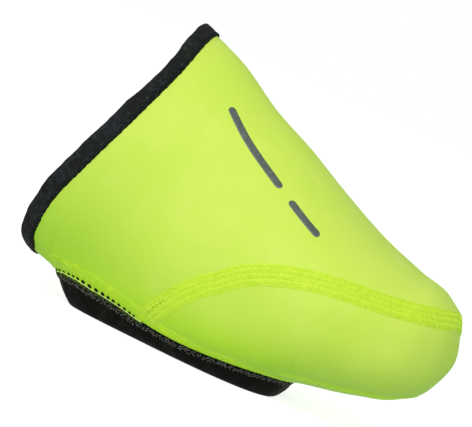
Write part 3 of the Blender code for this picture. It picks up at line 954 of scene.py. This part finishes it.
def strands(s, top, bottom, drift, radius, lift, random):
    """Short threads that cross the edge from a top height to a bottom height, arched off the fabric."""
    share, arch = arched(6)
    s, top, bottom, drift = (values[:, None] for values in (s, top, bottom, drift))
    lift = (lift + 0.22 * arch + random.uniform(0, 0.12, s.shape)) * MM
    points, normals = at_edge(s + drift * (share - 0.5), top + (bottom - top) * share, lift)
    return tubes(points, radius * MM, normals)


# The pitch, the ranges of both ends' heights and of the lean, the radius and the lift, all in mm, then
# the seed of the random draws and the number of the shade
OVERLOCK_LAYERS = (
    (0.95, (0.1, 0.6), (-2.0, -1.0), (0.3, 1.1), 0.24, 0.12, 31, 0),
    (1.15, (0.0, 0.4), (-1.8, -0.9), (-1.1, -0.2), 0.22, 0.22, 32, 0),
    (0.90, (-0.9, -0.1), (-1.7, -0.9), (-0.9, 0.9), 0.12, 0.36, 33, 1),
    (1.10, (-1.6, -0.8), (-2.5, -1.5), (-1.2, 1.2), 0.12, 0.32, 34, 1),
    (2.60, (-0.3, 0.1), (-1.1, -0.6), (0.7, 1.6), 0.11, 0.46, 35, 1),
)


def build_overlock():
    parts = []
    shades = []
    for pitch, up, down, lean, radius, lift, seed, shade in OVERLOCK_LAYERS:
        random = np.random.default_rng(seed)
        count = int(HEM_BAND.length / (pitch * MM))
        s = (np.arange(count) + random.uniform(-0.4, 0.4, count)) * HEM_BAND.length / count
        _, _, bottom, _ = edge_lines(s)
        top = bottom - 0.2 * MM + random.uniform(*up, count) * MM
        low = np.minimum(bottom - 0.2 * MM + random.uniform(*down, count) * MM, top - 0.4 * MM)
        parts.append(strands(s, top, low, random.uniform(*lean, count) * MM, radius, lift, random))
        shades.append(shade)
    random = np.random.default_rng(36)
    s, _ = outer_side_places(0.095, 0.345)
    for pitch, shade in ((0.42, 2), (0.75, 0), (1.9, 1)):
        places = np.arange(min(s), max(s), pitch * MM)
        count = len(places)
        places = places + random.uniform(-0.15, 0.15, count) * MM
        _, thread_line, bottom, _ = edge_lines(places)
        top = thread_line + random.uniform(-0.35, -0.10, count) * MM
        low = bottom + random.uniform(-0.9, -0.2, count) * MM
        parts.append(strands(places, top, low, random.uniform(-0.8, 0.8, count) * MM, 0.17, 0.36, random))
        shades.append(shade)
    shaders = [BLACK_THREAD, GREY_THREAD, GREEN_THREAD]
    make_piece("overlock_stitches", parts, shaders, "black_sole_fabric", shades)


def outer_side_places(start_along, end_along):
    """Distances along the hem of the outer side's stretch between two places of along, rear first."""
    picked = (HEM_TURN > 1.10) & (HEM_ALONG > start_along) & (HEM_ALONG < end_along)
    order = np.argsort(HEM_ALONG[picked])
    return HEM_BAND.s[:-1][picked][order], HEM_ALONG[picked][order]


HOLES_ALONG = (
    0.097, 0.110, 0.125, 0.141, 0.154, 0.168, 0.183, 0.201,
    0.220, 0.238, 0.253, 0.267, 0.282, 0.297, 0.311, 0.322,
)
HOLE_SIZES = (1.2, 1.4, 1.3, 1.5, 1.4, 1.7, 2.1, 2.3, 2.3, 2.1, 1.8, 1.8, 1.7, 1.6, 1.4, 1.2)


def build_needle_holes():
    """The row of needle holes at the rear of the outer side, drawn as dark domes of painted shade, and the
    loose thread below it.
    """
    s, along = outer_side_places(0.085, 0.36)
    marks = np.interp(HOLES_ALONG, along, s)
    holes, _, _, _ = edge_lines(marks)
    points, normals = at_edge(marks, holes + RNG.uniform(-0.08, 0.08, len(marks)) * MM, 0.40 * MM)
    holes = domes(points, normals, np.array(HOLE_SIZES) / 2 * MM, 0.30 * MM)
    make_piece("needle_holes", [holes], [SHADE_THREAD], "black_sole_fabric")
    line = np.interp(np.linspace(0.090, 0.342, 200), along, s)
    _, thread_line, _, _ = edge_lines(line)
    sway = (0.18 * HEM_BAND.noise(line, 6, 41) + 0.14 * HEM_BAND.noise(line, 2.4, 42)) * MM
    points, normals = at_edge(line, thread_line + sway, 0.62 * MM + 0.5 * sway)
    loose = tubes(points[None], 0.19 * MM, normals[None], sides=6)
    make_piece("loose_thread", [loose], [PALE_THREAD], "hi_vis_thread")


# The collar's knit tape


COLLAR_TURN = np.linspace(-1, 1, 360, endpoint=False)
COLLAR_BAND = Band.on_upper(0 * COLLAR_TURN, COLLAR_TURN, np.linspace(0, 9, 10) * MM, closed=True)
TAPE_CORNER_START = 0.80
TAPE_CORNER_END = 0.90
TAPE_LIFT = 0.75 * MM
TAPE_INSIDE_WIDTH = 5.0 * MM
STITCH_PITCH = 2.7 * MM


def tape_width(turn):
    """The tape's outside width: wider at the ridge and narrower at the lower corners."""
    under = eased((np.abs(turn) - TAPE_CORNER_START) / (TAPE_CORNER_END - TAPE_CORNER_START))
    outer_corner = np.exp(-(((turn + 0.77) / 0.09) ** 2))
    return (6.5 + 0.7 * np.exp(-((turn / 0.16) ** 2)) + 0.6 * outer_corner - 3.4 * under) * MM


def build_collar():
    band = COLLAR_BAND
    turn = np.linspace(-1, 1, 900, endpoint=False)
    s = np.interp(turn, np.append(COLLAR_TURN, 1.0), band.s)
    edge, normal = band.at(s, 0.0)
    off_edge = unit(np.cross(normal, unit(round_trip(edge))))
    if off_edge[:, 0].mean() > 0:
        off_edge = -off_edge
    inside = -WALL - GAP - BINDING_THICKNESS
    middle, half = (TAPE_LIFT + inside) / 2, (TAPE_LIFT - inside) / 2
    high = edge[:, 2] / MM
    bulge = 1.0 * eased((high - 30) / 14) * eased((96 - high) / 16)
    bulge -= 1.0 * np.exp(-(((high - 20) / 5) ** 2))
    bulge += 0.7 * np.exp(-(((high - 11.5) / 2.5) ** 2))
    bulge *= (turn < 0) * eased((0.86 + turn) / 0.05)
    wave = band.noise(s, 19, 51) + 0.5 * band.noise(s, 8, 52)
    fold = BINDING_FOLD + (0.22 * wave + bulge) * MM
    teeth = np.abs(np.mod(s / STITCH_PITCH, 1) - 0.5) * 2
    width = tape_width(turn) - BINDING_FOLD + (0.08 * (teeth - 0.5) + 0.14 * band.noise(s, 4.1, 53)) * MM
    shares = np.array([1.0, 0.97, 0.86, 0.72, 0.55, 0.38, 0.2, 0.06])
    puffs = np.array([0.0, 0.55, 0.95, 0.62, 0.85, 1.0, 0.8, 0.35])
    ripple = band.noise(s, 2.2, 54)
    lines = []
    for share, puff in zip(shares, puffs):
        lift = TAPE_LIFT * (0.35 if share == 1.0 else 1.0) + puff * (0.15 + 0.04 * ripple) * MM
        lines.append(band.at(s, share * width, lift)[0])
    for angle in np.linspace(math.pi * 0.42, -math.pi * 0.42, 9):
        out = off_edge * fold[:, None] * math.cos(angle)
        lines.append(edge + out + normal * (middle + (half + 0.1 * MM) * math.sin(angle)))
    for share in shares[::-1]:
        lift = inside + (0.6 * MM if share == 1.0 else 0.0)
        lines.append(band.at(s, share * np.minimum(width, TAPE_INSIDE_WIDTH), lift)[0])
    grid = np.array(lines).transpose(1, 0, 2)
    tape = sheet(grid, closed_rows=True, closed_columns=True)
    obj = make_piece("collar_tape", [tape], [KNIT], "charcoal_knit_tape")
    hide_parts("collar_binding")
    return s, width


def build_collar_stitches(s, width):
    """Black thread that whips over the tape's inner edge, a row of stitches beside it and a dark cord of
    painted shade along the edge.
    """
    band = COLLAR_BAND
    start = np.arange(0, band.length - STITCH_PITCH / 2, STITCH_PITCH)[:, None]
    start = start + RNG.uniform(-0.2, 0.2, start.shape) * MM
    edge = np.interp(start, s, width)
    share, arch = arched(6)
    whip = start + (share - 0.5) * 0.9 * MM
    c = edge + (-0.85 + 0.93 * share) * MM
    parts = [band.threads(whip, c, (0.80 - 0.34 * share**6 + 0.10 * arch) * MM, 0.17)]
    row = start + (0.1 + share * 2.1) * MM
    parts.append(band.threads(row, edge - 1.0 * MM, (0.84 + 0.10 * arch) * MM, 0.15))
    s, width = closed_up(s)[None], closed_up(width)[None]
    parts.append(band.threads(s, width, 0.04 * MM, 0.30, sides=6, tip=1.0))
    make_piece("collar_stitches", parts, [BLACK_THREAD, SHADE_THREAD], "charcoal_knit_tape", [0, 0, 1])


# Plain reflective trim on the outer side of the instep

TRIM_PIECES = (
    ((0.195, -0.205), (0.430, -0.250), 3.3),
    ((0.468, -0.257), (0.575, -0.277), 3.3),
)


def build_trim():
    """Strips with round ends."""
    parts = []
    corner = np.linspace(0, math.pi / 2, 9)
    lines = np.array([-1, -0.97, -0.6, -0.2, 0.2, 0.6, 0.97, 1])
    lift = np.where(np.abs(lines) == 1, -0.02, 0.09) * MM
    for start, end, width in TRIM_PIECES:
        band = Band.on_upper(*np.linspace(start, end, 60).T, np.linspace(-3, 3, 7) * MM)
        half = width / 2 * MM
        first = half * (1 - np.cos(corner))[:-1]
        last = band.length - half * (1 - np.sin(corner))[1:]
        s = np.concatenate([first, np.linspace(half, band.length - half, 60), last])[:, None]
        near = np.minimum(np.minimum(s, band.length - s), half)
        reach = np.sqrt(np.maximum(half**2 - (half - near) ** 2, (0.02 * MM) ** 2))
        points, _ = band.at(s, lines * reach, lift)
        parts.append(sheet(points))
    make_piece("reflective_trim", parts, [REFLECTIVE], "black_sole_fabric")


# A turned and stitched edge round the cleat opening


def build_cleat_edge():
    opening = SOLE_GRID[:, -1]
    inward = unit(opening.mean(0) - opening)
    up = np.array([0.0, 0.0, 1.0])
    cosines, sines = circle(12)
    roll = opening[:, None] + inward[:, None] * (cosines - 0.2) * MM + up * SOLE_WALL / 2 * (1 + sines)
    roll[..., 2] = np.maximum(roll[..., 2], 0.02 * MM)
    line = closed_up(opening - inward * 2.2 * MM)
    s = travelled(line)
    share, arch = arched(5)
    start = np.linspace(0, s[-1], 76, endpoint=False)[:, None]
    places = np.mod(start + share * 1.6 * MM, s[-1])
    path = np.stack([np.interp(places, s, column) for column in line.T], axis=-1)
    path[..., 2] = SOLE_WALL + (0.05 + 0.12 * arch) * MM
    parts = [sheet(roll, closed_rows=True, closed_columns=True), tubes(path, 0.16 * MM, up)]
    make_piece("cleat_opening_edge", parts, [BLACK_THREAD], "black_sole_fabric")


build_upper()
build_sole()
build_hem()
build_heel_strips()
build_seam()
build_seam_threads()
build_toe_strip()
build_overlock()
build_needle_holes()
build_collar_stitches(*build_collar())
build_trim()
build_cleat_edge()

# Camera: the photograph's angle. The view is rolled, so the toe points down to the right

CAMERA_AZIMUTH = math.radians(8)
CAMERA_ELEVATION = math.radians(4)
CAMERA_ROLL = math.radians(23.8076)
CAMERA_DISTANCE = 0.9
CAMERA_TARGET = np.array([0.0, 0.0, 0.060])
TARGET_PIXEL = (270.73, 226.80)
PHOTO_SIZE = (472, 427)
PIXEL = 0.396 * MM
SENSOR = 36.0


def build_camera():
    back = np.array([
        math.sin(CAMERA_AZIMUTH) * math.cos(CAMERA_ELEVATION),
        -math.cos(CAMERA_AZIMUTH) * math.cos(CAMERA_ELEVATION),
        math.sin(CAMERA_ELEVATION),
    ])
    level = np.array([math.cos(CAMERA_AZIMUTH), math.sin(CAMERA_AZIMUTH), 0.0])
    up = np.cross(back, level)
    picture_right = math.cos(CAMERA_ROLL) * level + math.sin(CAMERA_ROLL) * up
    picture_up = -math.sin(CAMERA_ROLL) * level + math.cos(CAMERA_ROLL) * up
    place = CAMERA_TARGET + back * CAMERA_DISTANCE
    place = place - picture_right * (TARGET_PIXEL[0] - PHOTO_SIZE[0] / 2) * PIXEL
    place = place + picture_up * (TARGET_PIXEL[1] - PHOTO_SIZE[1] / 2) * PIXEL
    data = bpy.data.cameras.new("camera")
    data.sensor_width = SENSOR
    data.lens = SENSOR * CAMERA_DISTANCE / (PHOTO_SIZE[0] * PIXEL)
    data.clip_start = 0.05
    data.clip_end = 60
    data.dof.use_dof = False
    camera = bpy.data.objects.new("camera", data)
    axes = Matrix((picture_right, picture_up, back)).transposed()
    camera.matrix_world = Matrix.Translation(Vector(place)) @ axes.to_4x4()
    bpy.context.scene.collection.objects.link(camera)
    bpy.context.scene.camera = camera
    return picture_right, picture_up, back


def build_sun(name, direction, strength, angle):
    data = bpy.data.lights.new(name, "SUN")
    data.energy = strength
    data.angle = math.radians(angle)
    light = bpy.data.objects.new(name, data)
    light.rotation_mode = "QUATERNION"
    light.rotation_quaternion = Vector(direction).normalized().to_track_quat("Z", "Y")
    bpy.context.scene.collection.objects.link(light)


def build_stage():
    mesh = bpy.data.meshes.new("floor")
    side = 30.0
    corners = [(-side, -side, 0), (side, -side, 0), (side, side, 0), (-side, side, 0)]
    mesh.from_pydata(corners, [], [(0, 1, 2, 3)])
    floor = bpy.data.objects.new("floor", mesh)
    floor.location.z = -0.05 * MM
    shader = Shader("pale_floor", (0.42, 0.42, 0.42), 0.9, 0.0, (0.85, 0.85, 0.85))
    mesh.materials.append(shader.grain(0.02, 0.0002, 400, 2).material)
    floor.visible_diffuse = False
    bpy.context.scene.collection.objects.link(floor)


def build_world():
    world = bpy.data.worlds.new("studio")
    world.use_nodes = True
    tree = world.node_tree
    place = add_node(tree, "TexCoord").outputs["Generated"]
    height = add_node(tree, "SeparateXYZ", {"Vector": place}).outputs["Z"]
    blend = add_node(tree, "MapRange", {"Value": height, "From Min": -0.5, "From Max": 0.7})
    sockets = {"A": (0.375, 0.425, 0.32, 1), "B": (0.47, 0.47, 0.47, 1), "Factor": blend.outputs["Result"]}
    mixed = add_node(tree, "Mix", sockets, data_type="RGBA")
    sky = tree.nodes["Background"]
    fill(sky, {"Color": mixed.outputs["Result"], "Strength": 1.0})
    seen = add_node(tree, "Background", {"Color": (1, 1, 1, 1), "Strength": 1.0})
    path = add_node(tree, "LightPath").outputs["Is Camera Ray"]
    sockets = {"Fac": path, 1: sky.outputs["Background"], 2: seen.outputs["Background"]}
    mix = add_node(tree, "MixShader", sockets)
    fill(tree.nodes["World Output"], {"Surface": mix.outputs["Shader"]})
    bpy.context.scene.world = world


PICTURE_RIGHT, PICTURE_UP, BACK = build_camera()
build_sun("key", 0.90 * BACK + 0.41 * PICTURE_UP - 0.03 * PICTURE_RIGHT, 2.05, 50)
build_stage()
build_world()
bpy.context.scene.view_settings.view_transform = "Standard"
